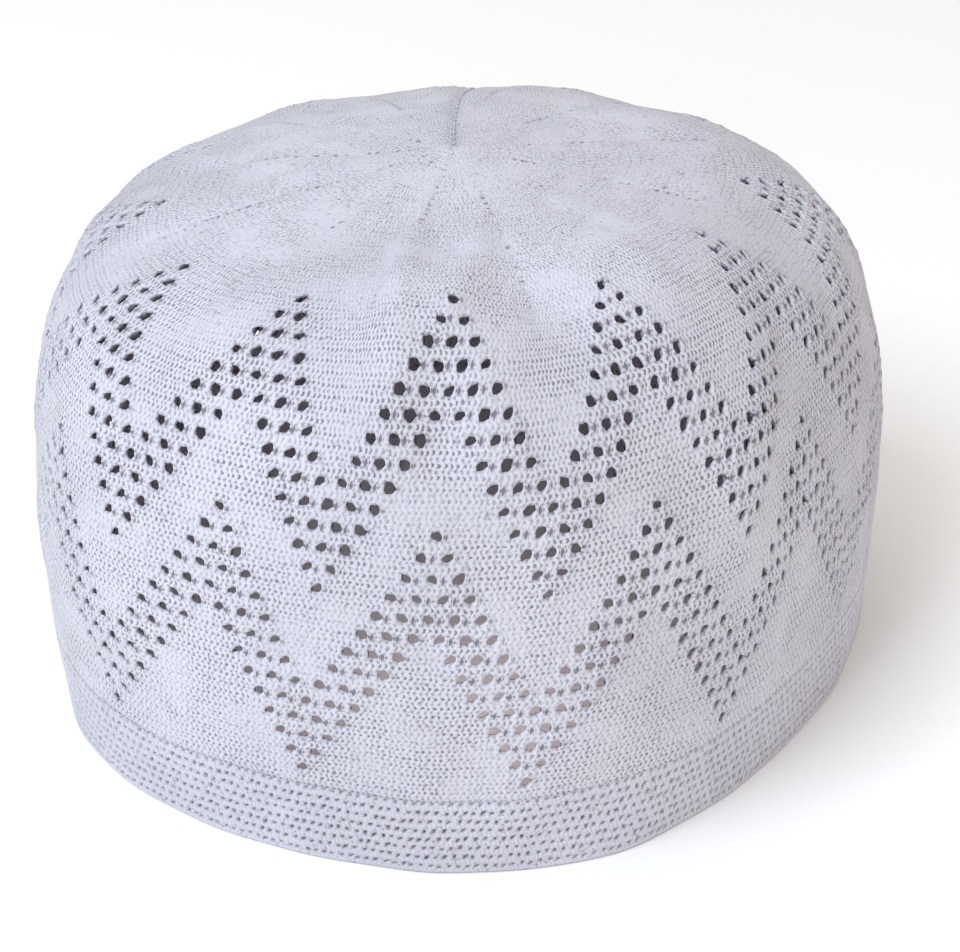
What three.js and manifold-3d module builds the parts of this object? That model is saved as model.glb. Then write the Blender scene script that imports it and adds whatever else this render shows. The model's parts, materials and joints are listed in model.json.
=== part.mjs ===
// A knitted kufi cap: one cloth for crown and side, pierced by two zigzag bands, over a turned hem band.
// Millimetres, +Z up, the front of the cap faces -Y, the origin lies on the floor under the cap's middle.
import * as THREE from 'three';
import { mergeGeometries, mergeVertices } from 'three/addons/utils/BufferGeometryUtils.js';
import Module from 'manifold-3d';

// Outside sizes
const capLength = 188;
const capDepth = 172;
const capHeight = 120;

// Cloth
const clothThickness = 1.8;
const hemHeight = 19.6;
const hemThickness = 3.4;
const hemRounding = 0.9;
const pieceGap = 0.3;

// Openwork: rows are counted down from a zigzag's peak, steps run round the cap
const repeatCount = 12;
const stepsPerRepeat = 18;
const rowPitch = 4.33;
const bandRows = 14;
const bandFoot = 24;
const bandOffsetRows = 10;
const bandCount = 2;
const armMiddleRow = 2;
const gapsPerRepeat = 5;
const gapHalfSteps = 1.3;
const gapHalfRows = 0.95;

// Turns in degrees, counted from the front towards +X
const firstPeakTurn = -6.6;
const spiralTurn = 13.6;

// Soft shape; the crown leans as it rises, and its centre lies a little to the right
const foldDepth = 4;
const swayHeight = 3.5;
const leanRight = -0.2;
const leanBack = 4.5;
const centreDrift = 1.3;
const driftRadius = 0.6;
const goreDepth = 0.7;
const goreFade = 0.35;

// Join: a few steps before the peak at the back, with no gap cut within so many steps
const joinWidth = 2.4;
const joinHeight = 0.7;
const joinStepCount = 3;
const joinClearCount = 2.4;

// Facets
const columnsPerRepeat = 6;
const bodyRowCount = 14;
const shoulderCrowding = 0.45;
const hemRowCount = 2;

// The side and crown from rim to centre: shares of the cloth's rise, the mean radius and the height
const sections = [
  { along: 0, radius: 0.986, height: 0 },
  { along: 0.125, radius: 0.995, height: 0.191 },
  { along: 0.25, radius: 0.998, height: 0.381 },
  { along: 0.375, radius: 0.976, height: 0.571 },
  { along: 0.4375, radius: 0.952, height: 0.665 },
  { along: 0.5, radius: 0.913, height: 0.756 },
  { along: 0.5625, radius: 0.849, height: 0.838 },
  { along: 0.625, radius: 0.75, height: 0.897 },
  { along: 0.6875, radius: 0.632, height: 0.933 },
  { along: 0.75, radius: 0.506, height: 0.95 },
  { along: 0.875, radius: 0.253, height: 0.973 },
  { along: 1, radius: 0, height: 1 },
];

// How the front half leaves an oval: waves round the cap, crest in degrees,
// swell as a share of the mean radius
const planLobes = [
  { waves: 3, crest: -20.3, swell: 0.0328 },
  { waves: 4, crest: 21.8, swell: 0.0325 },
];
const planFadeRadius = 0.5;
const backLobeStart = -0.8;

// How the shoulder of the crown rises and sags: rise as a share of swayHeight
const crownSways = [
  { waves: 1, crest: 34.3, rise: 1 },
  { waves: 2, crest: 3.2, rise: 0.24 },
  { waves: 3, crest: 8, rise: 0.3 },
];
const swayMiddle = 0.674;
const swayReach = 0.108;
const swayFadeRadius = 0.3;

// Folds and dents: turn, slant and spread in degrees, along and reach as shares of the cloth's rise,
// push as a share of foldDepth, outward when positive
const folds = [
  { name: 'left crown ridge', turn: -11, along: 0.71, slant: -20, spread: 4.5, reach: 0.13, push: 0.45 },
  { name: 'right crown ridge', turn: 4, along: 0.73, slant: 76, spread: 5, reach: 0.11, push: 0.4 },
  { name: 'trough between', turn: -2, along: 0.56, slant: -10, spread: 5, reach: 0.08, push: -0.5 },
  { name: 'front dent', turn: 18, along: 0.67, slant: -20, spread: 13, reach: 0.085, push: -1.2 },
  { name: 'right shoulder dent', turn: 84, along: 0.62, slant: 0, spread: 15, reach: 0.11, push: -0.7 },
  { name: 'right front edge', turn: 44, along: 0.45, slant: 30, spread: 9, reach: 0.2, push: 0.55 },
  { name: 'left front edge', turn: -55, along: 0.46, slant: 0, spread: 10, reach: 0.2, push: 0.4 },
  { name: 'front crease', turn: -5, along: 0.16, slant: 0, spread: 5, reach: 0.16, push: 0.2 },
  { name: 'back left fold', turn: -128, along: 0.5, slant: 25, spread: 14, reach: 0.16, push: -0.5 },
  { name: 'back right fold', turn: 140, along: 0.55, slant: -20, spread: 13, reach: 0.14, push: -0.55 },
];

const stepCount = repeatCount * stepsPerRepeat;
const joinStep = stepCount / 2 - joinStepCount;
const meanRadius = (capLength + capDepth) / 4;
const ovalSwell = (capLength - capDepth) / (capLength + capDepth);
const floorLevel = 0;
const slopeStep = 1e-3;
const radians = THREE.MathUtils.degToRad;

const wasm = await Module();
wasm.setup();

// A smooth curve through the table's rows
function sectionShare(along, column) {
  const last = sections.length - 1;
  let row = 0;
  while (row < last - 1 && along > sections[row + 1].along) row += 1;
  const slopeAt = (index) => {
    const before = sections[Math.max(index - 1, 0)];
    const after = sections[Math.min(index + 1, last)];
    return (after[column] - before[column]) / (after.along - before.along);
  };
  const span = sections[row + 1].along - sections[row].along;
  const t = (along - sections[row].along) / span;
  const here = (1 + 2 * t) * (1 - t) ** 2 * sections[row][column];
  const next = t * t * (3 - 2 * t) * sections[row + 1][column];
  const leaving = t * (1 - t) ** 2 * span * slopeAt(row);
  const arriving = t * t * (t - 1) * span * slopeAt(row + 1);
  return here + next + leaving + arriving;
}

// Length of the cloth from the rim up to the crown's centre
function measureClothRise() {
  const chords = 200;
  let rise = 0;
  let before = new THREE.Vector2(sectionShare(0, 'radius') * meanRadius, 0);
  for (let chord = 1; chord <= chords; chord += 1) {
    const along = chord / chords;
    const point = new THREE.Vector2(
      sectionShare(along, 'radius') * meanRadius,
      sectionShare(along, 'height') * capHeight,
    );
    rise += point.distanceTo(before);
    before = point;
  }
  return rise;
}

const clothRise = measureClothRise();
const bandFootAlong = bandFoot / clothRise;

function turnOf(step, along) {
  const spiral = spiralTurn * (along - bandFootAlong);
  return firstPeakTurn + (step / stepCount) * 360 + spiral;
}

function alongOfRow(band, row) {
  const rowsUp = bandRows - 1 - row + band * bandOffsetRows;
  return (bandFoot + rowsUp * rowPitch) / clothRise;
}

// The plan is an oval towards the rim, with soft corners in its front half
function planSwell(turn, radiusShare) {
  const fade = THREE.MathUtils.smoothstep(radiusShare, 0, planFadeRadius);
  const front = THREE.MathUtils.smoothstep(Math.cos(radians(turn)), backLobeStart, 0);
  let swell = -ovalSwell * Math.cos(radians(2 * turn));
  for (const lobe of planLobes) {
    swell += front * lobe.swell * Math.cos(lobe.waves * radians(turn - lobe.crest));
  }
  return 1 + fade * swell;
}

function crownSway(turn, along, radiusShare) {
  const bump = Math.exp(-(((along - swayMiddle) / swayReach) ** 2));
  const fade = Math.min(radiusShare / swayFadeRadius, 1);
  let rise = 0;
  for (const sway of crownSways) {
    rise += sway.rise * Math.cos(sway.waves * radians(turn - sway.crest));
  }
  return swayHeight * bump * fade * rise;
}

// The smooth outer face, before folds and gores
function smoothPoint(turn, along) {
  const radiusShare = Math.max(sectionShare(along, 'radius'), 0);
  const radius = radiusShare * meanRadius * planSwell(turn, radiusShare);
  const heightShare = sectionShare(along, 'height');
  const drift = centreDrift * (1 - THREE.MathUtils.smoothstep(radiusShare, 0, driftRadius));
  return new THREE.Vector3(
    radius * Math.sin(radians(turn)) + leanRight * heightShare + drift,
    -radius * Math.cos(radians(turn)) + leanBack * heightShare,
    capHeight * heightShare + crownSway(turn, along, radiusShare),
  );
}

// Direction out of the cloth
function outwardAt(turn, along) {
  const lower = Math.min(along, 1 - 2 * slopeStep);
  const degree = 1;
  const across = smoothPoint(turn + degree, lower).sub(smoothPoint(turn - degree, lower));
  const upward = smoothPoint(turn, lower + slopeStep).sub(smoothPoint(turn, lower - slopeStep));
  return across.cross(upward).normalize();
}

// How far the folds push the cloth outward
function foldPush(turn, along) {
  let push = 0;
  for (const fold of folds) {
    const middle = fold.turn + fold.slant * (along - fold.along);
    const away = THREE.MathUtils.euclideanModulo(turn - middle + 180, 360) - 180;
    const across = away / fold.spread;
    const upward = (along - fold.along) / fold.reach;
    push += fold.push * Math.exp(-across * across - upward * upward);
  }
  return push * foldDepth;
}

// Each gore of the crown is drawn in along its two edges
function goreDraw(step, along) {
  const crownShare = THREE.MathUtils.smoothstep(along, alongOfRow(1, bandRows - 1), alongOfRow(1, 0));
  const edge = Math.cos((2 * Math.PI * (step + stepsPerRepeat / 2)) / stepsPerRepeat);
  const centreFade = THREE.MathUtils.smoothstep(1 - along, 0, goreFade);
  return -goreDepth * crownShare * centreFade * Math.max(edge, 0) ** 2;
}

// A point of the cloth, inset millimetres in from its outer face
function clothPoint(step, along, inset) {
  const turn = along === 1 ? 0 : turnOf(step, along);
  const outward = along === 1 ? new THREE.Vector3(0, 0, 1) : outwardAt(turn, along);
  const push = along === 1 ? 0 : foldPush(turn, along) + goreDraw(step, along);
  return smoothPoint(turn, along).addScaledVector(outward, push - inset);
}

function clothRing(along, inset, level) {
  const columns = repeatCount * columnsPerRepeat;
  const ring = [];
  for (let column = 0; column < columns; column += 1) {
    const point = clothPoint((column * stepsPerRepeat) / columnsPerRepeat, along, inset);
    if (level !== undefined) point.z = level;
    ring.push(point);
  }
  return ring;
}

// Skins a row of rings; with no end points the last ring joins the first
function loft(rings, firstPoint, lastPoint) {
  const size = rings[0].length;
  const points = rings.flat();
  const faces = [];
  const closed = firstPoint === undefined;
  const bays = closed ? rings.length : rings.length - 1;
  for (let bay = 0; bay < bays; bay += 1) {
    const here = bay * size;
    const next = ((bay + 1) % rings.length) * size;
    for (let side = 0; side < size; side += 1) {
      const beside = (side + 1) % size;
      faces.push(here + side, here + beside, next + beside);
      faces.push(here + side, next + beside, next + side);
    }
  }
  if (!closed) {
    const first = points.push(firstPoint) - 1;
    const last = points.push(lastPoint) - 1;
    const top = (rings.length - 1) * size;
    for (let side = 0; side < size; side += 1) {
      const beside = (side + 1) % size;
      faces.push(first, beside, side);
      faces.push(top + side, top + beside, last);
    }
  }
  const geometry = new THREE.BufferGeometry().setFromPoints(points);
  geometry.setIndex(faces);
  return geometry;
}

function middleOf(ring) {
  const middle = new THREE.Vector3();
  for (const point of ring) middle.add(point);
  return middle.divideScalar(ring.length);
}

// Heights of the body's rings, closer together round the shoulder
function bodyAlongs() {
  const start = (hemHeight + pieceGap) / clothRise;
  const alongs = [];
  for (let row = 0; row < bodyRowCount; row += 1) {
    const share = row / bodyRowCount;
    const crowded = share + (shoulderCrowding * Math.sin(2 * Math.PI * share)) / (2 * Math.PI);
    alongs.push(start + (1 - start) * crowded);
  }
  return alongs;
}

// One through-gap: a lozenge along the middle line of a zigzag arm
function gapPlug(band, middleStep) {
  const fromPeak = Math.abs(middleStep - stepsPerRepeat * Math.round(middleStep / stepsPerRepeat));
  const middleRow = armMiddleRow + fromPeak;
  const margin = clothThickness;
  const corners = [
    { step: middleStep + gapHalfSteps, row: middleRow },
    { step: middleStep, row: middleRow - gapHalfRows },
    { step: middleStep - gapHalfSteps, row: middleRow },
    { step: middleStep, row: middleRow + gapHalfRows },
  ];
  const ringAt = (inset) => corners.map(({ step, row }) => clothPoint(step, alongOfRow(band, row), inset));
  const inner = ringAt(clothThickness + margin);
  const outer = ringAt(-margin);
  return loft([inner, outer], middleOf(inner), middleOf(outer));
}

function allGapPlugs() {
  const pitch = stepsPerRepeat / gapsPerRepeat;
  const plugs = [];
  for (let band = 0; band < bandCount; band += 1) {
    for (let gap = 0; gap < repeatCount * gapsPerRepeat; gap += 1) {
      const middleStep = (gap - (gapsPerRepeat - 1) / 2) * pitch;
      const besideJoin = Math.abs(middleStep - joinStep) < joinClearCount;
      if (!besideJoin) plugs.push(gapPlug(band, middleStep));
    }
  }
  return mergeGeometries(plugs);
}

function toManifold(geometry) {
  const welded = mergeVertices(geometry);
  return new wasm.Manifold(
    new wasm.Mesh({
      numProp: 3,
      vertProperties: new Float32Array(welded.attributes.position.array),
      triVerts: new Uint32Array(welded.index.array),
    }),
  );
}

function fromManifold(solid) {
  const mesh = solid.getMesh();
  const geometry = new THREE.BufferGeometry();
  geometry.setAttribute('position', new THREE.BufferAttribute(mesh.vertProperties, 3));
  geometry.setIndex(new THREE.BufferAttribute(mesh.triVerts, 1));
  return geometry;
}

function finish(geometry) {
  geometry.computeVertexNormals();
  return geometry;
}

// Crown and side: a thin hollow skin, cut through along both zigzag bands
function knitBody() {
  const alongs = bodyAlongs();
  const footLevel = hemHeight + pieceGap;
  const levelOf = (along) => (along === alongs[0] ? footLevel : undefined);
  const inner = alongs.map((along) => clothRing(along, clothThickness, levelOf(along))).reverse();
  const outer = alongs.map((along) => clothRing(along, 0, levelOf(along)));
  const skin = loft([...inner, ...outer], clothPoint(0, 1, clothThickness), clothPoint(0, 1, 0));
  return finish(fromManifold(toManifold(skin).subtract(toManifold(allGapPlugs()))));
}

// Turned hem: twice the cloth, flat on the floor, its outer edge rounded
function rimHem() {
  const hemAlong = hemHeight / clothRise;
  const inner = [];
  const outer = [];
  for (let row = 0; row < hemRowCount; row += 1) {
    const share = row / (hemRowCount - 1);
    const level = hemRounding + (hemHeight - hemRounding) * share;
    const along = hemAlong * share;
    inner.unshift(clothRing(along, hemThickness, level));
    outer.push(clothRing(along, 0, level));
  }
  const innerFoot = clothRing(0, hemThickness - hemRounding, floorLevel);
  const outerFoot = clothRing(0, hemRounding, floorLevel);
  return finish(loft([...inner, innerFoot, outerFoot, ...outer]));
}

// The linked join: a low ridge on the outer face, up the back of the cap
function joinSeam() {
  const rings = bodyAlongs().map((along) => {
    const seat = clothPoint(joinStep, along, 0);
    const outward = outwardAt(turnOf(joinStep, along), along);
    const higher = clothPoint(joinStep, along + slopeStep, 0).sub(seat).normalize();
    const side = new THREE.Vector3().crossVectors(outward, higher).normalize();
    const at = (across, out) => seat.clone().addScaledVector(side, across).addScaledVector(outward, out);
    const foot = pieceGap;
    const crown = pieceGap + joinHeight;
    return [
      at(joinWidth / 2, foot),
      at(joinWidth / 4, crown),
      at(-joinWidth / 4, crown),
      at(-joinWidth / 2, foot),
    ];
  });
  return finish(loft(rings, middleOf(rings[0]), middleOf(rings[rings.length - 1])));
}

function cotton(color) {
  return new THREE.MeshStandardMaterial({ color, roughness: 0.95, metalness: 0 });
}

function addPiece(group, name, geometry, color) {
  const mesh = new THREE.Mesh(geometry, cotton(color));
  mesh.name = name;
  group.add(mesh);
}

const cap = new THREE.Group();
addPiece(cap, 'knit_body', knitBody(), 0xd0d1e0);
addPiece(cap, 'rim_hem', rimHem(), 0xc4c5d3);
addPiece(cap, 'join_seam', joinSeam(), 0xc9cad8);

const outline = new THREE.Box3().setFromObject(cap);
const middle = outline.getCenter(new THREE.Vector3());
cap.position.set(-middle.x, -middle.y, 0);

export default cap;
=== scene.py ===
# A white knitted kufi cap that stands on its rim: crown and side are one cloth, pierced by two
# zigzag bands of eyelets, over a turned hem of small mesh. Metres, +Z up, the front faces -Y.
import json
import math

import bpy
import numpy as np
from mathutils import Matrix, Vector

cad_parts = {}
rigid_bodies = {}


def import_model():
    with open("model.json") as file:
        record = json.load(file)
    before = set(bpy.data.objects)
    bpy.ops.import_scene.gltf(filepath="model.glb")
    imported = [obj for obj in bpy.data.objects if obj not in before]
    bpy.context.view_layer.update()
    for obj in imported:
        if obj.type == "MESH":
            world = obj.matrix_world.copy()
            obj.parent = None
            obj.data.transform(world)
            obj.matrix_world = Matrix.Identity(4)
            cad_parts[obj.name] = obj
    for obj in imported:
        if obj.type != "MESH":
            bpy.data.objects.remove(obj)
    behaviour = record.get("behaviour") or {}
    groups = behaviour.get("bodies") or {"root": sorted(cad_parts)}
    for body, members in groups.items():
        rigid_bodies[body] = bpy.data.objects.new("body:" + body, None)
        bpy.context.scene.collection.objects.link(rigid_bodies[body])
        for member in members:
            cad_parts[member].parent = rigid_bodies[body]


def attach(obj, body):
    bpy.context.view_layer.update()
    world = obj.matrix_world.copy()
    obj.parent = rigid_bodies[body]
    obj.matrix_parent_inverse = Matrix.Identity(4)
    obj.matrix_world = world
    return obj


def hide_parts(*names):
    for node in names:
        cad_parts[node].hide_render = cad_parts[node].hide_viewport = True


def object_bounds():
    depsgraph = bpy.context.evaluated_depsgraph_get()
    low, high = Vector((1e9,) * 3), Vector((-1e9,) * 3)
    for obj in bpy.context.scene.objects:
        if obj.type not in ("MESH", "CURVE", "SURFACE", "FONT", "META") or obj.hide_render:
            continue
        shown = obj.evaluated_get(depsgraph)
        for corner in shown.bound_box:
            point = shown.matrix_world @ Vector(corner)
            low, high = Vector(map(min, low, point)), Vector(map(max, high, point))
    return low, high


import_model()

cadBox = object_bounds()

# The form of the cap, as in the part's source. Rows are two wales high, steps two courses wide.
capForm = {
    "length": 0.188,
    "depth": 0.172,
    "height": 0.120,
    "rowPitch": 0.00433,
    "repeats": 12,
    "stepsPerRepeat": 18,
    "bandFoot": 0.024,
    "bandRows": 14,
    "bandOffset": 10,
    "bandCount": 2,
    "armRows": 4,
    "firstPeakTurn": -6.6,
    "spiralTurn": 13.6,
    "leanRight": -0.0002,
    "leanBack": 0.0045,
    "centreDrift": 0.0013,
    "driftRadius": 0.6,
    "foldDepth": 0.004,
    "swayHeight": 0.0035,
    "goreDepth": 0.0003,
    "goreFade": 0.35,
    "joinSteps": 3,
}

# From rim to centre: shares of the cloth's rise, of the mean radius and of the height
sections = {
    "along": (0, 0.125, 0.25, 0.375, 0.4375, 0.5, 0.5625, 0.625, 0.6875, 0.75, 0.875, 1),
    "radius": (0.986, 0.995, 0.998, 0.976, 0.952, 0.913, 0.849, 0.75, 0.632, 0.506, 0.253, 0),
    "height": (0, 0.191, 0.381, 0.571, 0.665, 0.756, 0.838, 0.897, 0.933, 0.95, 0.973, 1),
}

# Soft corners of the plan and sags of the shoulder: waves round the cap, crest in degrees, share
planLobes = ((3, -20.3, 0.0328), (4, 21.8, 0.0325))
crownSways = ((1, 34.3, 1.0), (2, 3.2, 0.24), (3, 8, 0.3))
planFadeRadius = 0.5
backLobeStart = -0.8
sway = {"middle": 0.674, "reach": 0.108, "fadeRadius": 0.3}

# Folds: turn and slant in degrees, spread, place and reach along the rise, push as a share of foldDepth
foldColumns = ("name", "turn", "along", "slant", "spread", "reach", "push")
foldRows = (
    ("left crown ridge", -11, 0.71, -20, 4.5, 0.13, 0.6),
    ("right crown ridge", 4, 0.73, 76, 5, 0.11, 0.4),
    ("trough between", -2, 0.56, -10, 5, 0.08, -0.5),
    ("front dent", 18, 0.67, -20, 13, 0.085, -1.35),
    ("right shoulder dent", 84, 0.62, 0, 15, 0.11, -0.7),
    ("right front edge", 44, 0.45, 30, 9, 0.2, 0.55),
    ("left front edge", -55, 0.46, 0, 10, 0.2, 0.4),
    ("front crease", -5, 0.16, 0, 5, 0.16, 0.2),
    ("back left fold", -128, 0.5, 25, 14, 0.16, -0.5),
    ("back right fold", 140, 0.55, -20, 13, 0.14, -0.55),
)
folds = [dict(zip(foldColumns, row)) for row in foldRows]

stepCount = capForm["repeats"] * capForm["stepsPerRepeat"]
halfRepeat = capForm["stepsPerRepeat"] / 2
topRow = capForm["bandRows"] - 1 + capForm["bandOffset"]
joinStep = stepCount / 2 - capForm["joinSteps"]
meanRadius = (capForm["length"] + capForm["depth"]) / 4
ovalSwell = (capForm["length"] - capForm["depth"]) / (capForm["length"] + capForm["depth"])
goreDegrees = 180 / capForm["repeats"]
slopeStep = 1e-3
crowdLimit = 1.25


def smoothRamp(value, low, high):
    t = np.clip((value - low) / (high - low), 0, 1)
    return t * t * (3 - 2 * t)


def sectionShare(along, column):
    places = np.array(sections["along"], float)
    shares = np.array(sections[column], float)
    slopes = np.empty_like(shares)
    slopes[1:-1] = (shares[2:] - shares[:-2]) / (places[2:] - places[:-2])
    slopes[0] = (shares[1] - shares[0]) / (places[1] - places[0])
    slopes[-1] = (shares[-1] - shares[-2]) / (places[-1] - places[-2])
    row = np.clip(np.searchsorted(places, along, side="left") - 1, 0, len(places) - 2)
    span = places[row + 1] - places[row]
    t = (along - places[row]) / span
    ends = (1 + 2 * t) * (1 - t) ** 2 * shares[row] + t * t * (3 - 2 * t) * shares[row + 1]
    bends = t * (1 - t) ** 2 * slopes[row] + t * t * (t - 1) * slopes[row + 1]
    return ends + span * bends


def measureClothRise(chords=200):
    along = np.linspace(0, 1, chords + 1)
    radius = sectionShare(along, "radius") * meanRadius
    height = sectionShare(along, "height") * capForm["height"]
    return float(np.hypot(np.diff(radius), np.diff(height)).sum())


clothRise = measureClothRise()


def alongOf(row):
    return (capForm["bandFoot"] + np.asarray(row, float) * capForm["rowPitch"]) / clothRise


def rowAt(height):
    return (height - capForm["bandFoot"]) / capForm["rowPitch"]


def goreShift(step):
    gore = np.round(np.asarray(step, float) / capForm["stepsPerRepeat"])
    return gore, (step - gore * capForm["stepsPerRepeat"]) / halfRepeat


def crowdEdges(share, radiusShare):
    # courses run out at a gore's edges, so towards the crown they lie wider apart in its middle
    wide = np.minimum(0.5 + 0.5 / np.maximum(radiusShare, 0.05), crowdLimit)
    return wide * share - (wide - 1) * share ** 3


def turnOf(step, along):
    gore, share = goreShift(step)
    radiusShare = sectionShare(along, "radius")
    inGore = goreDegrees * crowdEdges(share, radiusShare)
    spiral = capForm["spiralTurn"] * (along - alongOf(0))
    return capForm["firstPeakTurn"] + gore * 2 * goreDegrees + inGore + spiral


def planSwell(turn, radiusShare):
    fade = smoothRamp(radiusShare, 0, planFadeRadius)
    front = smoothRamp(np.cos(np.radians(turn)), backLobeStart, 0)
    swell = -ovalSwell * np.cos(np.radians(2 * turn))
    for waves, crest, share in planLobes:
        swell = swell + front * share * np.cos(waves * np.radians(turn - crest))
    return 1 + fade * swell


def crownSway(turn, along, radiusShare):
    bump = np.exp(-(((along - sway["middle"]) / sway["reach"]) ** 2))
    fade = np.minimum(radiusShare / sway["fadeRadius"], 1)
    rise = sum(share * np.cos(waves * np.radians(turn - crest)) for waves, crest, share in crownSways)
    return capForm["swayHeight"] * bump * fade * rise


def smoothPoint(turn, along):
    radiusShare = np.maximum(sectionShare(along, "radius"), 0)
    radius = radiusShare * meanRadius * planSwell(turn, radiusShare)
    heightShare = sectionShare(along, "height")
    drift = capForm["centreDrift"] * (1 - smoothRamp(radiusShare, 0, capForm["driftRadius"]))
    x = radius * np.sin(np.radians(turn)) + capForm["leanRight"] * heightShare + drift
    y = -radius * np.cos(np.radians(turn)) + capForm["leanBack"] * heightShare
    z = capForm["height"] * heightShare + crownSway(turn, along, radiusShare)
    return np.stack([x, y, z], axis=-1)


def outwardAt(turn, along):
    lower = np.minimum(along, 1 - 8 * slopeStep)
    across = smoothPoint(turn + 1, lower) - smoothPoint(turn - 1, lower)
    upward = smoothPoint(turn, lower + slopeStep) - smoothPoint(turn, lower - slopeStep)
    outward = np.cross(across, upward)
    return outward / np.linalg.norm(outward, axis=-1, keepdims=True)


def foldPush(turn, along):
    push = np.zeros(np.shape(turn))
    for fold in folds:
        middle = fold["turn"] + fold["slant"] * (along - fold["along"])
        across = ((turn - middle + 180) % 360 - 180) / fold["spread"]
        upward = (along - fold["along"]) / fold["reach"]
        push += fold["push"] * np.exp(-across * across - upward * upward)
    return push * capForm["foldDepth"]


def goreDraw(step, along):
    crownShare = smoothRamp(along, alongOf(capForm["bandOffset"]), alongOf(topRow))
    edge = np.maximum(np.cos(2 * np.pi * (step / capForm["stepsPerRepeat"] + 0.5)), 0)
    fade = smoothRamp(1 - along, 0, capForm["goreFade"])
    return -capForm["goreDepth"] * crownShare * fade * edge ** 2


def clothPoint(step, row, inset):
    # a point of the cloth, inset metres in from its outer face
    along = alongOf(row)
    turn = turnOf(step, along)
    push = foldPush(turn, along) + goreDraw(step, along) - inset
    return smoothPoint(turn, along) + outwardAt(turn, along) * push[..., None]


def measureShift():
    # the part's box is centred on its origin, so the same shift brings this cloth onto it
    steps, rows = np.meshgrid(np.arange(stepCount), np.linspace(rowAt(0), topRow, 60))
    cloth = clothPoint(steps, rows, np.zeros(steps.shape)).reshape(-1, 3)
    middle = (cloth.min(0) + cloth.max(0)) / 2
    cadMiddle = (np.array(cadBox[0]) + np.array(cadBox[1])) / 2
    return np.array([cadMiddle[0] - middle[0], cadMiddle[1] - middle[1], 0])


frameShift = measureShift()
print("cap form: cloth rise", round(clothRise, 4), "shift", [round(float(v), 5) for v in frameShift])


def buildMesh(name, points, faces, corners, shades, flatFaces=()):
    # corners is the stitch coordinate of each face corner, shades four values for each point
    used, places = np.unique(np.concatenate(faces), return_inverse=True)
    counts = np.array([len(face) for face in faces])
    starts = np.concatenate([[0], np.cumsum(counts)[:-1]])
    mesh = bpy.data.meshes.new(name)
    mesh.vertices.add(len(used))
    mesh.vertices.foreach_set("co", (points[used] + frameShift).astype(np.float32).ravel())
    mesh.loops.add(len(places))
    mesh.loops.foreach_set("vertex_index", places.astype(np.int32))
    mesh.polygons.add(len(counts))
    mesh.polygons.foreach_set("loop_start", starts.astype(np.int32))
    mesh.polygons.foreach_set("loop_total", counts.astype(np.int32))
    mesh.update(calc_edges=True)
    stitches = mesh.uv_layers.new(name="stitches")
    stitches.data.foreach_set("uv", np.concatenate(corners).astype(np.float32).ravel())
    knitPlace = mesh.attributes.new("knit", "FLOAT_COLOR", "POINT")
    knitPlace.data.foreach_set("color", shades[used].astype(np.float32).ravel())
    smooth = np.ones(len(counts), bool)
    smooth[list(flatFaces)] = False
    mesh.polygons.foreach_set("use_smooth", smooth)
    mesh.validate()
    piece = bpy.data.objects.new(name, mesh)
    bpy.context.scene.collection.objects.link(piece)
    return piece


def stitchPlace(steps, rows):
    # course and wale of each corner of one face, counted within the face's own gore
    gore = np.round(np.mean(steps) / capForm["stepsPerRepeat"])
    share = (steps - gore * capForm["stepsPerRepeat"]) / halfRepeat
    radiusShare = sectionShare(alongOf(rows), "radius")
    topShare = sectionShare(alongOf(topRow), "radius")
    shortRows = np.minimum(radiusShare / topShare, 1)
    even = capForm["stepsPerRepeat"] * share
    drawn = capForm["stepsPerRepeat"] * crowdEdges(share, radiusShare) * shortRows
    crownShare = smoothRamp(rows, topRow + knit["shortRowsFrom"], topRow + knit["shortRowsTo"])
    course = 2 * capForm["stepsPerRepeat"] * gore + even + (drawn - even) * crownShare
    return np.stack([course, 2 * rows], axis=-1)


# The knitted crown and side. Eyelets: half lengths in metres, lean in degrees, low and high up the side
knit = {
    "thickness": 0.0014,
    "hemHeight": 0.0196,
    "lastRow": 36.5,
    "lump": 0.0005,
    "rimRaise": 0.0001,
    "lipRound": 0.0003,
    "lipDepth": 0.0008,
    "innerFlare": 1.12,
    "ringShare": 0.5,
    "lowEyelet": (0.00142, 0.00088, 22),
    "highEyelet": (0.0015, 0.00104, 32),
    "eyeletRows": (3, 18),
    "longSpread": (0.86, 1.1),
    "shortSpread": (0.72, 1.18),
    "leanSpread": (0.5, 1.4),
    "wobble": (0.09, 0.05),
    "pointed": 1.45,
    "sideBulge": 0.16,
    "topBulge": 0.09,
    "widest": 0.56,
    "creaseDepth": 0.0005,
    "creaseReach": 0.0016,
    "creaseFade": 5,
    "joinClear": 1.5,
    "openFade": 1.3,
    "shortRowsFrom": -3,
    "shortRowsTo": 4,
    "calmRows": 12,
    "seed": 7,
}
lipCorners = 16

# Slow unevenness of the cloth in the hand: random waves round and up the cap
hand = {"waves": 14, "turns": (3, 26), "slope": 0.9, "height": 0.00022, "fade": 8}


def eyeletCells():
    # each hole's column, row and side of its peak; holes lie on every other crossing of an arm
    cells = {}
    last = capForm["bandRows"] - 1
    for band in range(capForm["bandCount"]):
        for repeat in range(capForm["repeats"]):
            peak = repeat * capForm["stepsPerRepeat"]
            for side in range(-int(halfRepeat) + 1, int(halfRepeat) + 1):
                column = (peak + side) % stepCount
                if abs(column - joinStep) < knit["joinClear"]:
                    continue
                for below in range(abs(side), min(abs(side) + capForm["armRows"], last) + 1):
                    if (side + below) % 2 == 0:
                        cells[(column, last - below + band * capForm["bandOffset"])] = side
    return cells


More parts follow.
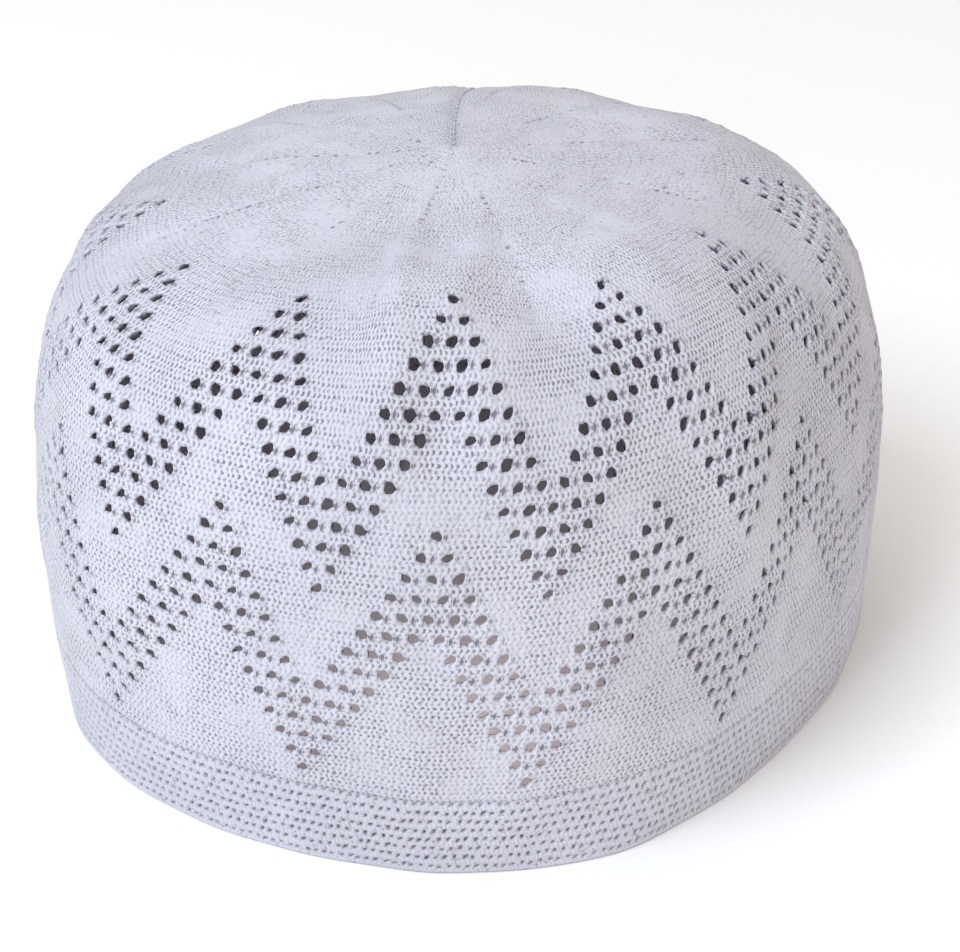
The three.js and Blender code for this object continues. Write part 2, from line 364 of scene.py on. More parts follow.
def openShare(step, row):
    # how far a point lies within the openwork, 0 to 1
    fade = knit["openFade"]
    fromPeak = np.abs(step - capForm["stepsPerRepeat"] * np.round(step / capForm["stepsPerRepeat"]))
    best = np.zeros(np.shape(step))
    for band in range(capForm["bandCount"]):
        below = capForm["bandRows"] - 1 + band * capForm["bandOffset"] - row
        upper = smoothRamp(below - fromPeak, -fade, 0)
        lower = smoothRamp(fromPeak + capForm["armRows"] + fade - below, 0, fade)
        inBand = smoothRamp(below, -fade, 0) * smoothRamp(capForm["bandRows"] - 1 + fade - below, 0, fade)
        best = np.maximum(best, upper * lower * inBand)
    return best


def softHand(step, row):
    rng = np.random.default_rng(knit["seed"])
    total = np.zeros(np.shape(step))
    for wave in range(hand["waves"]):
        turns = rng.integers(*hand["turns"])
        slope = rng.uniform(-hand["slope"], hand["slope"])
        phase = rng.uniform(0, 2 * np.pi)
        total += np.sin(2 * np.pi * turns * step / stepCount + slope * row + phase)
    fade = smoothRamp(topRow + knit["calmRows"] - row, 0, hand["fade"])
    return total * hand["height"] / hand["waves"] ** 0.5 * fade


def nearJoin(step, row):
    # 1 on the join, falling to 0 within a stitch or two
    stepWidth = 2 * np.pi * meanRadius / stepCount * sectionShare(alongOf(row), "radius")
    return np.exp(-((np.abs(step - joinStep) * stepWidth / knit["creaseReach"]) ** 2))


def bodyPoint(step, row, inset):
    # lumps of yarn stand between the eyelets, and the join is drawn in
    checker = (1 + np.cos(np.pi * step) * np.cos(np.pi * row)) / 2
    lump = knit["lump"] * openShare(step, row) * checker
    fade = smoothRamp(topRow + knit["calmRows"] - row, 0, knit["creaseFade"])
    crease = knit["creaseDepth"] * nearJoin(step, row) * fade
    return clothPoint(step, row, inset - lump + crease - softHand(step, row))


def knitShade(step, row):
    # millimetres to the gore's edge, openwork, height up the cloth, and nearness to the join
    along = alongOf(row)
    gore, share = goreShift(step)
    radiusShare = sectionShare(along, "radius")
    offset = np.abs(crowdEdges(share, radiusShare))
    toEdge = (1 - offset) * np.radians(goreDegrees) * radiusShare * meanRadius
    return np.stack([toEdge * 1000, openShare(step, row), along, nearJoin(step, row)], axis=-1)


def stepWidthAt(column, row):
    along = np.full(2, float(alongOf(row)))
    turns = turnOf(np.array([column - 0.5, column + 0.5]), along)
    return math.radians(turns[1] - turns[0]) * meanRadius * float(sectionShare(along[0], "radius"))


def eyeletOutline(column, row, side, rng):
    # offsets in steps and rows round a leaf that leans across its arm
    share = np.interp(row, knit["eyeletRows"], (0, 1))
    longHalf, shortHalf, lean = [low + (high - low) * share
                                 for low, high in zip(knit["lowEyelet"], knit["highEyelet"])]
    longHalf *= rng.uniform(*knit["longSpread"])
    shortHalf *= rng.uniform(*knit["shortSpread"])
    lean = math.radians(lean * rng.uniform(*knit["leanSpread"])) * (np.sign(side) or rng.choice((-1, 1)))
    spin = rng.uniform(0, 2 * np.pi)
    width = stepWidthAt(column, row)
    power = knit["pointed"]
    broad, fine = knit["wobble"]
    outline = []
    for corner in range(lipCorners):
        angle = 2 * math.pi * corner / lipCorners
        heading = math.atan2(math.sin(angle) * capForm["rowPitch"], math.cos(angle) * width)
        away = heading - lean
        radius = (abs(math.cos(away) / longHalf) ** power + abs(math.sin(away) / shortHalf) ** power)
        radius = radius ** (-1 / power)
        radius *= 1 + broad * math.cos(3 * away + spin) + fine * math.cos(5 * away + 2 * spin)
        across = radius * math.cos(heading) / width
        across = max(-knit["widest"], min(knit["widest"], across))
        outline.append((across, radius * math.sin(heading) / capForm["rowPitch"]))
    return outline


def makeKnitBody():
    rng = np.random.default_rng(knit["seed"])
    foot = rowAt(knit["hemHeight"])
    levels = np.concatenate([[foot, (foot - 0.5) / 2], np.arange(-0.5, knit["lastRow"] + 0.1, 0.5)])
    last = len(levels) - 1
    tip = rowAt(clothRise)
    width = 2 * stepCount
    holes = eyeletCells()
    steps, rows = np.meshgrid(np.arange(width) / 2, levels)
    inner = bodyPoint(steps, rows, np.full(steps.shape, knit["thickness"])).reshape(-1, 3)

    # a cell's edges give way beside its eyelet
    bulge = {(1, 0): (knit["sideBulge"], 0), (-1, 0): (-knit["sideBulge"], 0),
             (0, 1): (0, knit["topBulge"]), (0, -1): (0, -knit["topBulge"])}
    for column, row in holes:
        for (du, dv), (across, up) in bulge.items():
            level, place = 2 * (row + 1) + 1 + dv, (2 * column + du) % width
            steps[level, place] += across
            rows[level, place] += up
    outer = bodyPoint(steps, rows, np.zeros(steps.shape)).reshape(-1, 3)
    innerStart = len(outer)
    ringStart = 2 * len(outer)
    faces, corners, flatFaces = [], [], []
    ringPlaces, ringInsets = [], []

    def at(level, column):
        return level * width + column % width

    def addFace(ids, spots):
        faces.append(np.array(ids))
        spots = np.array(spots, float)
        corners.append(stitchPlace(spots[:, 0], spots[:, 1]))

    def addPlainCell(low, left):
        for up in (0, 1):
            bottom, top = levels[low + up], levels[low + up + 1]
            for side in (0, 1):
                first = (left + side) / 2
                addFace([at(low + up, left + side), at(low + up, left + side + 1),
                         at(low + up + 1, left + side + 1), at(low + up + 1, left + side)],
                        ((first, bottom), (first + 0.5, bottom), (first + 0.5, top), (first, top)))
        start, end = left / 2, left / 2 + 1
        ring = (at(low, left), at(low + 2, left), at(low + 2, left + 2), at(low, left + 2))
        addFace([innerStart + i for i in ring],
                ((start, levels[low]), (start, levels[low + 2]), (end, levels[low + 2]), (end, levels[low])))

    def addEyelet(column, row, low, left):
        # from the cell's eight edge points to a raised ring, round the lip and through the cloth
        around = ((1, 0), (1, 1), (0, 1), (-1, 1), (-1, 0), (-1, -1), (0, -1), (1, -1))
        outline = eyeletOutline(column, row, holes[(column, row)], rng)
        edgeIds = [at(low + 1 + dv, left + 1 + du) for du, dv in around]
        edgeAt = []
        for du, dv in around:
            across, up = bulge.get((du, dv), (0, 0))
            edgeAt.append((column + du / 2 + across, row + dv / 2 + up))
        share = knit["ringShare"]
        midAt = [((column + outline[2 * k][0]) * (1 - share) + edgeAt[k][0] * share,
                  (row + outline[2 * k][1]) * (1 - share) + edgeAt[k][1] * share) for k in range(8)]
        lipAt = [(column + across, row + up) for across, up in outline]
        flare = knit["innerFlare"]
        backAt = [(column + across * flare, row + up * flare) for across, up in outline]
        mid = ringStart + len(ringPlaces)
        lip = mid + len(midAt)
        back = lip + lipCorners
        for ring, inset in ((midAt, -knit["rimRaise"]), (lipAt, knit["lipRound"]),
                            (backAt, knit["lipDepth"])):
            ringPlaces.extend(ring)
            ringInsets.extend([inset] * len(ring))
        for k in range(8):
            after = (k + 1) % 8
            addFace([edgeIds[k], edgeIds[after], mid + after, mid + k],
                    (edgeAt[k], edgeAt[after], midAt[after], midAt[k]))
            fine = [(2 * k + 2) % lipCorners, 2 * k + 1, 2 * k]
            addFace([mid + k, mid + after] + [lip + j for j in fine],
                    [midAt[k], midAt[after]] + [lipAt[j] for j in fine])
        for k in range(lipCorners):
            after = (k + 1) % lipCorners
            addFace([lip + k, lip + after, back + after, back + k],
                    (lipAt[k], lipAt[after], backAt[after], backAt[k]))
        for first in (7, 1, 3, 5):
            fine = [(2 * first + j) % lipCorners for j in range(5)]
            turned = [(first + 2) % 8, first]
            addFace([back + j for j in fine] + [innerStart + edgeIds[k] for k in turned],
                    [backAt[j] for j in fine] + [edgeAt[k] for k in turned])

    for bay in range(last // 2):
        row, low = bay - 1, 2 * bay
        for column in range(stepCount):
            left = 2 * column - 1
            if (column, row) in holes:
                addEyelet(column, row, low, left)
            else:
                addPlainCell(low, left)

    # the crown's centre, outside and in, and the flat foot
    crestOuter = ringStart + len(ringPlaces)
    crestInner = crestOuter + 1
    for column in range(width):
        edge = column / 2
        addFace([at(last, column), at(last, column + 1), crestOuter],
                ((edge, levels[last]), (edge + 0.5, levels[last]), (edge + 0.25, tip)))
        if column % 2:
            addFace([innerStart + at(last, column + 2), innerStart + at(last, column), crestInner],
                    ((edge + 1, levels[last]), (edge, levels[last]), (edge + 0.5, tip)))
            flatFaces.append(len(faces))
            addFace([at(0, column), innerStart + at(0, column), innerStart + at(0, column + 2),
                     at(0, column + 2), at(0, column + 1)],
                    ((edge, foot), (edge, foot), (edge + 1, foot), (edge + 1, foot), (edge + 0.5, foot)))
    crest = smoothPoint(np.zeros(2), np.ones(2))
    crest[1, 2] -= knit["thickness"]
    ringPlaces = np.array(ringPlaces)
    rings = bodyPoint(ringPlaces[:, 0], ringPlaces[:, 1], np.array(ringInsets))
    grid = np.stack([steps.ravel(), rows.ravel()], axis=1)
    places = np.concatenate([grid, grid, ringPlaces, [[0, tip], [0, tip]]])
    points = np.concatenate([outer, inner, rings, crest])
    return buildMesh("knitBody", points, faces, corners, knitShade(places[:, 0], places[:, 1]), flatFaces)


# Shader sheets: a Wire is a socket that takes part in sums


class Wire:
    def __init__(self, sheet, socket):
        self.sheet = sheet
        self.socket = socket

    def output(self, place):
        return Wire(self.sheet, self.socket.node.outputs[place])

    def __add__(self, other):
        return self.sheet.sum("ADD", self, other)

    def __sub__(self, other):
        return self.sheet.sum("SUBTRACT", self, other)

    def __rsub__(self, other):
        return self.sheet.sum("SUBTRACT", other, self)

    def __mul__(self, other):
        return self.sheet.sum("MULTIPLY", self, other)

    def __pow__(self, other):
        return self.sheet.sum("POWER", self, other)

    __radd__ = __add__
    __rmul__ = __mul__


class Sheet:
    def __init__(self, name):
        self.material = bpy.data.materials.new(name)
        self.material.use_nodes = True
        self.tree = self.material.node_tree
        self.shader = self.tree.nodes["Principled BSDF"]

    def node(self, kind, settings=None, sockets=None, output=0):
        made = self.tree.nodes.new(kind)
        for key, value in (settings or {}).items():
            setattr(made, key, value)
        for key, value in (sockets or {}).items():
            self.feed(made.inputs[key], value)
        return Wire(self, made.outputs[output])

    def feed(self, socket, value):
        if isinstance(value, Wire):
            self.tree.links.new(value.socket, socket)
        else:
            socket.default_value = value

    def sum(self, operation, *values):
        return self.node("ShaderNodeMath", {"operation": operation}, dict(enumerate(values)))

    def zigzag(self, value):
        # 0 on a whole number, 1 halfway
        return self.sum("PINGPONG", value, 0.5) * 2

    def mixColor(self, share, first, second):
        return self.node("ShaderNodeMix", {"data_type": "RGBA"}, {0: share, 6: first, 7: second}, output=2)

    def ramp(self, value, low, high):
        return self.node("ShaderNodeMapRange", {"interpolation_type": "SMOOTHSTEP"},
                         {"Value": value, "From Min": low, "From Max": high})

    def noise(self, place, scale, detail=2):
        return self.node("ShaderNodeTexNoise", None, {"Vector": place, "Scale": scale, "Detail": detail})

    def parts(self, vector):
        split = self.node("ShaderNodeSeparateXYZ", None, {0: vector})
        return split, split.output(1), split.output(2)

    def finish(self, **sockets):
        for name, value in sockets.items():
            self.feed(self.shader.inputs[name.replace("_", " ")], value)
        return self.material


# Cotton: colours, noise scales, how uneven the hand is and how strongly the stitches show
cotton = {
    "light": (0.68, 0.685, 0.77, 1),
    "shade": (0.625, 0.625, 0.705, 1),
    "paintedShade": (0.15, 0.14, 0.19, 1),
    "fuzzScale": 2600,
    "grainScale": 1100,
    "wanderScale": 450,
    "patchScale": 95,
    "cloudScale": 28,
    "uneven": (1.1, 0.6),
    "crownUneven": (1.2, 0.8),
    "crownStart": (0.6, 0.76),
    "crownCalm": 0.15,
    "crownEnd": (0.95, 0.985),
    "slant": 0.5,
    "dotShade": 0.8,
    "lineShade": 0.1,
    "pinholeWidth": (0.15, 0.7),
    "pinholeShade": 0.7,
    "breakScales": (60, 380),
    "markPlace": 0.8,
    "markUneven": (0.25, 0.2),
    "markEdge": (0.66, 0.84),
    "markShade": 0.9,
    "gapEdge": (0.35, 1.0),
    "rowEdge": (0.25, 0.9),
    "patchEdge": (0.34, 0.62),
    "cloudEdge": (0.35, 0.65),
    "speckEdge": (0.44, 0.3),
    "speckShade": 0.35,
    "hemSpeckShade": 0.4,
    "bump": 0.55,
    "depth": 0.0005,
    "roughness": 0.95,
    "sheen": 0.25,
    "specular": 0.2,
}
# How deep the hollows of the yarn read in the bump, and how high its fuzz and grain
relief = {"lines": 0.3, "dot": 1.1, "mark": 1.2, "hemLegs": 0.35, "fuzz": 0.5, "grain": 1.1}


def cottonFinish(sheet, place, grain, hollows, shadow, deepest):
    # what all the cotton shares: fuzz and grain, a slow change of tone, and painted shade in the hollows
    fuzz = sheet.noise(place, cotton["fuzzScale"], 3)
    height = 1 - hollows + fuzz * relief["fuzz"] + grain * relief["grain"]
    bump = sheet.node("ShaderNodeBump", None,
                      {"Strength": cotton["bump"], "Distance": cotton["depth"], "Height": height})
    cloud = sheet.ramp(sheet.noise(place, cotton["cloudScale"], 3), *cotton["cloudEdge"])
    tone = sheet.mixColor(cloud, cotton["shade"], cotton["light"])
    # painted shade: the colour goes towards the shade colour of the hollows, as far as shadow asks and no
    # further than deepest
    base = sheet.mixColor(sheet.sum("MINIMUM", shadow, deepest), tone, cotton["paintedShade"])
    return sheet.finish(Base_Color=base, Roughness=cotton["roughness"], Normal=bump,
                        Sheen_Weight=cotton["sheen"], Specular_IOR_Level=cotton["specular"])


def knitCotton():
    sheet = Sheet("knitCotton")
    place = sheet.node("ShaderNodeTexCoord", output=3)
    course, wale = sheet.parts(sheet.node("ShaderNodeUVMap", {"uv_map": "stitches"}))[:2]
    toEdge, openwork, along = sheet.parts(
        sheet.node("ShaderNodeAttribute", {"attribute_name": "knit"}, output=1))
    join = sheet.node("ShaderNodeAttribute", {"attribute_name": "knit"}, output=3)
    crown = sheet.ramp(along, *cotton["crownStart"])
    grain = sheet.noise(place, cotton["grainScale"], 3)
    wander, drift = sheet.parts(sheet.noise(place, cotton["wanderScale"]).output(1))[:2]
    wander, drift = wander - 0.5, drift - 0.5

    # a small pinhole on the right of each eyelet, where the yarn is drawn aside: a hollow in the bump and
    # painted shade in the colour
    markCourse = (course * 0.5 - cotton["markPlace"]) + wander * cotton["markUneven"][0]
    markRow = wale * 0.5 + drift * cotton["markUneven"][1]
    mark = sheet.ramp(sheet.zigzag((markCourse + markRow) * 0.5), *cotton["markEdge"])
    mark = mark * sheet.ramp(sheet.zigzag((markCourse - markRow) * 0.5), *cotton["markEdge"]) * openwork

    # the legs of a stitch slant away from its wale's middle line. Dots of painted shade lie between the legs
    # as hollows in the bump, and weaker ones between two wales, half a course further on; the slanting lines
    # between legs carry a little painted shade too
    course = course + wander * (cotton["uneven"][0] + crown * cotton["crownUneven"][0])
    wale = wale + drift * (cotton["uneven"][1] + crown * cotton["crownUneven"][1])
    away = sheet.zigzag(wale)
    gap = sheet.zigzag(course + away * cotton["slant"])
    plain = 1 - crown * cotton["crownCalm"]
    lines = gap ** 2 * plain
    dot = sheet.ramp(gap, *cotton["gapEdge"]) * (1 - sheet.ramp(sheet.zigzag(wale * 2), *cotton["rowEdge"]))
    dot = dot * (1.15 - 0.45 * sheet.ramp(away, 0.3, 0.7))
    patches = sheet.ramp(sheet.noise(place, cotton["patchScale"], 3), *cotton["patchEdge"])
    dot = dot * (0.3 * (1 - crown) + 0.7 * patches) * plain

    # broken rows of pinholes along the edges of the crown's gores: hollows in the bump and painted shade in
    # the colour
    pinhole = (1 - sheet.ramp(toEdge, *cotton["pinholeWidth"])) * sheet.ramp(away, 0.45, 0.8) * crown
    pinhole = pinhole * sheet.ramp(sheet.noise(place, cotton["breakScales"][0]), 0.44, 0.56)
    pinhole = pinhole * sheet.ramp(sheet.noise(place, cotton["breakScales"][1]), 0.44, 0.52)
    pinhole = pinhole * (1 - sheet.ramp(along, *cotton["crownEnd"]))

    hollows = lines * relief["lines"] + dot * relief["dot"] + pinhole + mark * relief["mark"]
    # painted shade: dots, lines, pinholes and marks darken the base colour as the shade in their hollows
    shadow = dot * cotton["dotShade"] + lines * cotton["lineShade"]
    shadow = shadow + pinhole * cotton["pinholeShade"] + mark * cotton["markShade"]
    # painted shade in the low spots of the grain, where the bump lies deep, and along the crease of the join
    specks = sheet.ramp(grain, *cotton["speckEdge"])
    shadow = shadow + join * (0.02 + grain * 0.28) + specks * cotton["speckShade"]
    return cottonFinish(sheet, place, grain, hollows, shadow, 0.85)


def dress(piece, node, material):
    piece.data.materials.append(material)
    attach(piece, "root")
    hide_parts(node)


body = makeKnitBody()
dress(body, "knit_body", knitCotton())
print("knit body:", len(body.data.polygons), "faces")

# The turned hem: two layers of small mesh, rounded where it turns up
hem = {
    "thickness": 0.0032,
    "rounding": 0.0009,
    "pitsPerRepeat": 24,
    "wales": 8,
    "pitWide": 0.21,
    "pitTall": 0.3,
    "pitLean": 0.3,
    "pitDepth": 0.0009,
    "ridge": 0.00006,
    "tuck": 0.0005,
    "tuckInset": 0.00012,
    "wideSpread": (0.75, 1.15),
    "tallSpread": (0.55, 1.12),
    "leanSpread": (-0.4, 1.8),
    "footTall": 0.8,
    "footLean": 2.2,
    "topShallow": 0.55,
    "floorShare": 0.75,
    "lipDepth": 0.0001,
    "lipShade": 0.25,
    "pitShade": 0.42,
    "legShade": 0.14,
    "jitter": 0.1,
    "foldSegments": 4,
    "innerRows": 3,
}


def makeHem():
    wales = hem["wales"]
    rounding, thickness = hem["rounding"], hem["thickness"]
    pits = hem["pitsPerRepeat"] * capForm["repeats"]
    width = 2 * pits
    spacing = stepCount / pits
    levels = np.linspace(rowAt(rounding), rowAt(knit["hemHeight"] + hem["tuck"]), wales + 1)
    steps, rows = np.meshgrid(np.arange(width) * spacing / 2, levels)
    raised = np.full(steps.shape, -hem["ridge"])
    raised[0] = 0
    raised[-1] = hem["tuckInset"]
    points = [bodyPoint(steps, rows, raised).reshape(-1, 3)]
    shades = [np.zeros(steps.size)]
    faces, corners, flatFaces = [], [], []
    count = steps.size

    def at(level, column):
        return level * width + column % width

    def addFace(ids, spots):
        faces.append(np.array(ids))
        corners.append(np.array(spots, float))

    # each cell has six edge points, and as many round its lip and round its pit's floor; lip and floor carry
    # a share of painted shade for the pit
    around = ((-1, 0), (0, 0), (1, 0), (1, 1), (0, 1), (-1, 1))
    angles = np.radians((-150, -90, -30, 30, 90, 150))
    pitCorners = len(angles)
    pitSteps, pitRows, pitInsets, pitShades = [], [], [], []
    rng = np.random.default_rng(knit["seed"] + 1)
    for wale in range(wales):
        shallow = hem["topShallow"] if wale == wales - 1 else 1
        flat, slant = (hem["footTall"], hem["footLean"]) if wale == 0 else (1, 1)
        for cell in range(pits):
            middle = 2 * cell + wale % 2
            base = count + len(pitSteps)
            wide = hem["pitWide"] * rng.uniform(*hem["wideSpread"])
            tall = hem["pitTall"] * rng.uniform(*hem["tallSpread"]) * flat
            lean = hem["pitLean"] * rng.uniform(*hem["leanSpread"]) * slant
            shift = rng.uniform(-1, 1, 2) * hem["jitter"]
            rings = [[at(wale + dv, middle + du) for du, dv in around]]
            ringSpots = [[(middle / 2 + du / 2, wale + dv) for du, dv in around]]
            for share, inset, shade in ((1, hem["lipDepth"], hem["lipShade"]),
                                        (hem["floorShare"], hem["pitDepth"] * shallow, shallow)):
                rings.append(list(range(base, base + pitCorners)))
                spots = []
                for angle in angles:
                    up = tall * share * np.sin(angle) + shift[1]
                    across = wide * share * np.cos(angle) + lean * up + shift[0]
                    spots.append((middle / 2 + across / spacing, wale + 0.5 + up))
                    pitSteps.append(middle / 2 * spacing + across)
                    pitRows.append(np.interp(wale + 0.5 + up, np.arange(wales + 1), levels))
                    pitInsets.append(inset)
                    pitShades.append(shade)
                ringSpots.append(spots)
                base += pitCorners
            for ring in (0, 1):
                for corner in range(pitCorners):
                    after = (corner + 1) % pitCorners
                    addFace([rings[ring][corner], rings[ring][after],
                             rings[ring + 1][after], rings[ring + 1][corner]],
                            [ringSpots[ring][corner], ringSpots[ring][after],
                             ringSpots[ring + 1][after], ringSpots[ring + 1][corner]])
            addFace(rings[2], ringSpots[2])
    points.append(bodyPoint(np.array(pitSteps), np.array(pitRows), np.array(pitInsets)))
    shades.append(np.array(pitShades))

    # the fold under the rim and the plain inner face, ring by ring
    count += len(pitSteps)
    turns = np.arange(1, hem["foldSegments"] + 1) * math.pi / 2 / hem["foldSegments"]
    profile = [(rounding * (1 - math.cos(turn)), rounding * (1 - math.sin(turn))) for turn in turns]
    profile += [(thickness - inset, height) for inset, height in profile[::-1]]
    profile += [(thickness, height) for height in np.linspace(rounding, knit["hemHeight"], hem["innerRows"])]
    before = [at(0, column) for column in range(width)]
    for number, (inset, height) in enumerate(profile):
        ring = bodyPoint(np.arange(width) * spacing / 2, np.full(width, rowAt(height)), np.full(width, inset))
        ring[:, 2] = height
        points.append(ring)
        shades.append(np.zeros(width))
        here = [count + column for column in range(width)]
        for column in range(width):
            after = (column + 1) % width
            edge = column / 2
            addFace([before[after], before[column], here[column], here[after]],
                    [(edge + 0.5, -number / 4), (edge, -number / 4),
                     (edge, -(number + 1) / 4), (edge + 0.5, -(number + 1) / 4)])
        before = here
        count += width
    for column in range(width):
        after = (column + 1) % width
        edge = column / 2
        flatFaces.append(len(faces))
        addFace([before[after], before[column], at(wales, column), at(wales, column + 1)],
                [(edge + 0.5, 0), (edge, 0), (edge, 1), (edge + 0.5, 1)])
    shades = np.concatenate(shades)
    none = np.zeros(len(shades))
    return buildMesh("rimHem", np.concatenate(points), faces, corners,
                     np.stack([none, shades, none, none], axis=-1), flatFaces)


def hemCotton():
    sheet = Sheet("hemCotton")
    place = sheet.node("ShaderNodeTexCoord", output=3)
    course, wale = sheet.parts(sheet.node("ShaderNodeUVMap", {"uv_map": "stitches"}))[:2]
    paintedPitShade = sheet.parts(sheet.node("ShaderNodeAttribute", {"attribute_name": "knit"}, output=1))[1]
    grain = sheet.noise(place, cotton["grainScale"], 3)
    wander = sheet.noise(place, cotton["wanderScale"]) - 0.5
    legs = sheet.zigzag((course + wale * 0.5) * 2 + wander * 0.8) ** 2
    specks = sheet.ramp(grain, *cotton["speckEdge"])
    # painted shade: the pits, the grooves between legs and the low spots of the grain darken the colour
    shadow = paintedPitShade * hem["pitShade"] + legs * hem["legShade"] + specks * cotton["hemSpeckShade"]
    return cottonFinish(sheet, place, grain, legs * relief["hemLegs"], shadow, 0.9)


hemPiece = makeHem()
dress(hemPiece, "rim_hem", hemCotton())
print("rim hem:", len(hemPiece.data.polygons), "faces")

# The join at the back: two strands cross each other in its crease
seam = {
    "stitches": 84,
    "width": 0.0009,
    "strand": 0.00024,
    "lift": 0.0001,
    "swing": 0.0001,
    "sides": 6,
    "segments": 8,
    "paintedShade": (0.46, 0.45, 0.51, 1),
    "fuzzScale": 1500,
    "bump": 0.6,
    "depth": 0.0004,
}


def makeSeam():
    count = seam["stitches"] * seam["segments"] + 1
    share = np.linspace(0, 1, count)
    rows = rowAt(knit["hemHeight"]) + share * (knit["lastRow"] - rowAt(knit["hemHeight"]))
    seat = bodyPoint(np.full(count, joinStep), rows, np.zeros(count))
    higher = np.gradient(seat, axis=0)
    higher /= np.linalg.norm(higher, axis=1, keepdims=True)
    outward = outwardAt(turnOf(np.full(count, joinStep), alongOf(rows)), alongOf(rows))
    side = np.cross(outward, higher)
    phase = np.pi * np.arange(count) / seam["segments"]
    points, faces, corners = [], [], []
    for strand in (0, 1):
        swing = np.cos(phase + strand * np.pi)
        over = (1 - 2 * strand) * np.abs(np.cos(phase))
        spine = seat + side * (swing * seam["width"] / 2)[:, None]
        spine = spine + outward * (seam["lift"] + seam["swing"] * over)[:, None]
        along = np.gradient(spine, axis=0)
        along /= np.linalg.norm(along, axis=1, keepdims=True)
        across = np.cross(outward, along)
        across /= np.linalg.norm(across, axis=1, keepdims=True)
        rise = np.cross(along, across)
        base = strand * count * seam["sides"]
        for number in range(count):
            for edge in range(seam["sides"]):
                angle = 2 * np.pi * edge / seam["sides"]
                offset = across[number] * np.cos(angle) + rise[number] * np.sin(angle)
                points.append(spine[number] + offset * seam["strand"])
        for number in range(count - 1):
            for edge in range(seam["sides"]):
                here = base + number * seam["sides"]
                after = (edge + 1) % seam["sides"]
                faces.append(np.array([here + edge, here + after, here + seam["sides"] + after,
                                       here + seam["sides"] + edge]))
                corners.append(np.array([(edge, number), (edge + 1, number), (edge + 1, number + 1),
                                         (edge, number + 1)]) * 0.5)
        for first, order in ((base, -1), (base + (count - 1) * seam["sides"], 1)):
            faces.append(np.array([first + edge for edge in range(seam["sides"])][::order]))
            corners.append(np.zeros((seam["sides"], 2)))
    points = np.array(points)
    return buildMesh("joinSeam", points, faces, corners, np.zeros((len(points), 4)))


def linkingYarn():
    sheet = Sheet("linkingYarn")
    place = sheet.node("ShaderNodeTexCoord", output=3)
    fuzz = sheet.noise(place, seam["fuzzScale"], 3)
    bump = sheet.node("ShaderNodeBump", None,
                      {"Strength": seam["bump"], "Distance": seam["depth"], "Height": fuzz})
    # painted shade: the strands are coloured towards a darker grey, as the shade in the crease they lie in
    base = sheet.mixColor(sheet.ramp(fuzz, *cotton["cloudEdge"]), seam["paintedShade"], cotton["shade"])
    return sheet.finish(Base_Color=base, Roughness=cotton["roughness"], Normal=bump,
                        Sheen_Weight=cotton["sheen"], Specular_IOR_Level=cotton["specular"])


seamPiece = makeSeam()
dress(seamPiece, "join_seam", linkingYarn())
print("join seam:", len(seamPiece.data.polygons), "faces")

backdrop = {
    "size": 6.0,
    "floorColor": (0.97, 0.97, 0.97, 1),
    "floorGlow": 0.13,
    "glowEdge": (0.085, 0.13),
    "worldColor": (1.0, 0.955, 0.91, 1),
    "worldStrength": 0.59,
}


def makeFloor():
    bpy.ops.mesh.primitive_plane_add(size=backdrop["size"], location=(0, 0, 0))
    floor = bpy.context.object
    floor.name = "floor"
    sheet = Sheet("paleFloor")
    place = sheet.node("ShaderNodeTexCoord", output=3)
    # The floor glows, a painted light that also lights the cap's foot; the glow fades to black under the cap
    # and close round it, as a painted shadow
    away = sheet.node("ShaderNodeVectorMath", {"operation": "LENGTH"}, {0: place}, output=1)
    outside = sheet.ramp(away, *backdrop["glowEdge"])
    paintedFloorGlow = sheet.mixColor(outside, (0, 0, 0, 1), backdrop["floorColor"])
    floor.data.materials.append(sheet.finish(
        Base_Color=backdrop["floorColor"], Roughness=0.9,
        Emission_Color=paintedFloorGlow, Emission_Strength=backdrop["floorGlow"]))


def aim(thing, place, target, roll=0):
    direction = (Vector(target) - Vector(place)).normalized()
    turn = direction.to_track_quat("-Z", "Y").to_matrix().to_4x4()
    thing.matrix_world = Matrix.Translation(Vector(place)) @ turn @ Matrix.Rotation(roll, 4, "Z")


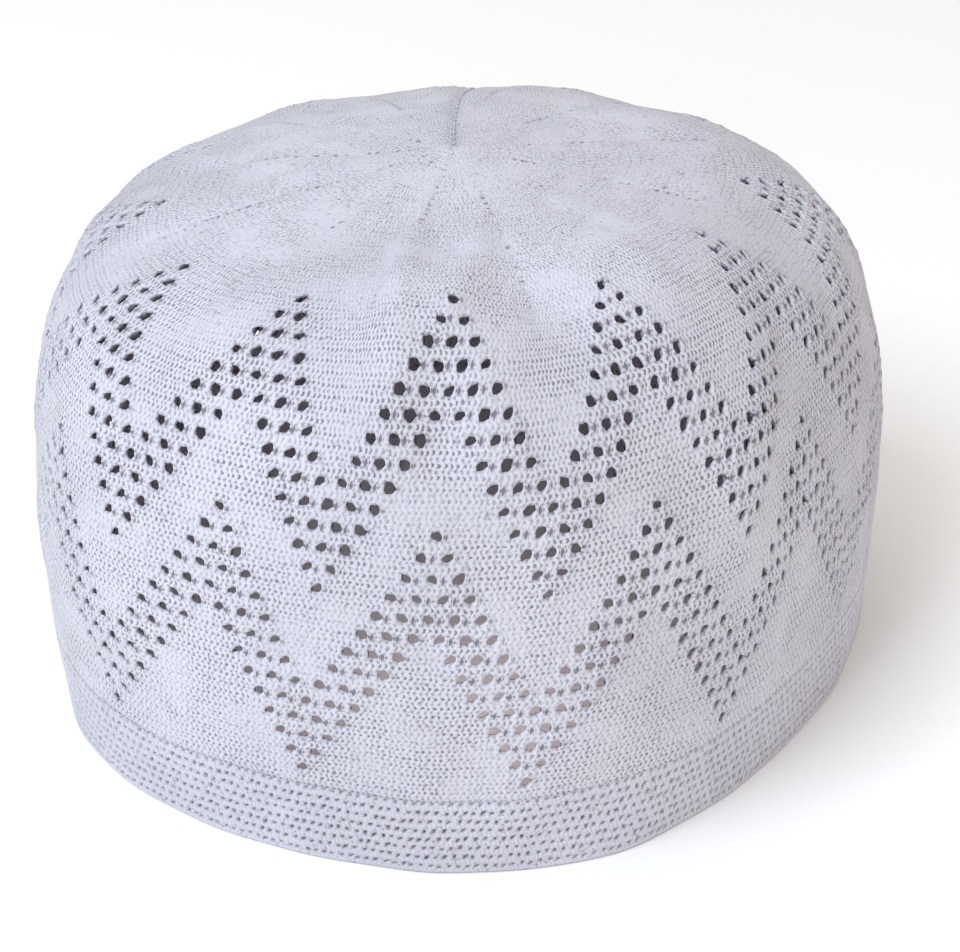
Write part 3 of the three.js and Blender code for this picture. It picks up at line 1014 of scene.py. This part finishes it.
# Lamps: turn from the front and rise in degrees, metres away and across, watts
lamps = {
    "key": {"turn": -50, "rise": 56, "distance": 1.3, "size": 0.6, "power": 10.3,
            "color": (0.80, 0.90, 1.0)},
    "front": {"turn": -12, "rise": 14, "distance": 1.3, "size": 0.7, "power": 1.5,
              "color": (1.0, 0.95, 0.95)},
    "fill": {"turn": 75, "rise": 22, "distance": 1.4, "size": 0.9, "power": 1.3,
             "color": (1.0, 0.6, 0.42)},
}

# A weak glow inside, low behind the front wall, as light that has come through the cloth
glow = {"place": (0, -0.04, 0.04), "size": 0.05, "power": 0.009, "color": (1.0, 0.8, 0.79)}


def addLamp(name, lamp, place, target):
    light = bpy.data.lights.new(name, "AREA")
    light.size = lamp["size"]
    light.energy = lamp["power"]
    light.color = lamp["color"]
    fixture = bpy.data.objects.new(name, light)
    bpy.context.scene.collection.objects.link(fixture)
    aim(fixture, place, target)


def awayFrom(turn, rise):
    turn, rise = math.radians(turn), math.radians(rise)
    return Vector((math.sin(turn) * math.cos(rise), -math.cos(turn) * math.cos(rise), math.sin(rise)))


def makeLight():
    world = bpy.data.worlds.new("studio")
    world.use_nodes = True
    bpy.context.scene.world = world
    sky = world.node_tree.nodes["Background"]
    sky.inputs["Color"].default_value = backdrop["worldColor"]
    sky.inputs["Strength"].default_value = backdrop["worldStrength"]
    for name, lamp in lamps.items():
        place = awayFrom(lamp["turn"], lamp["rise"]) * lamp["distance"]
        addLamp(name, lamp, place, (0, 0, capForm["height"] / 2))
    addLamp("glow", glow, glow["place"], (glow["place"][0], glow["place"][1], 0))
    bpy.context.scene.view_settings.view_transform = "Standard"


# The camera stands at the photograph's angle; angles in degrees, aim from the cap's own axis
view = {
    "elevation": 33.388,
    "azimuth": -0.834,
    "distance": 0.5157,
    "aim": (0.00582, 0, 0.04047),
    "roll": 0.863,
    "lens": 85.395,
    "sensor": 36,
}


def makeCamera():
    lens = bpy.data.cameras.new("camera")
    lens.lens = view["lens"]
    lens.sensor_fit = "HORIZONTAL"
    lens.sensor_width = view["sensor"]
    lens.clip_start = 0.01
    camera = bpy.data.objects.new("camera", lens)
    bpy.context.scene.collection.objects.link(camera)
    target = Vector(view["aim"]) + Vector(frameShift)
    place = target + awayFrom(view["azimuth"], view["elevation"]) * view["distance"]
    aim(camera, place, target, -math.radians(view["roll"]))
    bpy.context.scene.camera = camera


makeFloor()
makeLight()
makeCamera()
print("stage: floor, lights and camera")
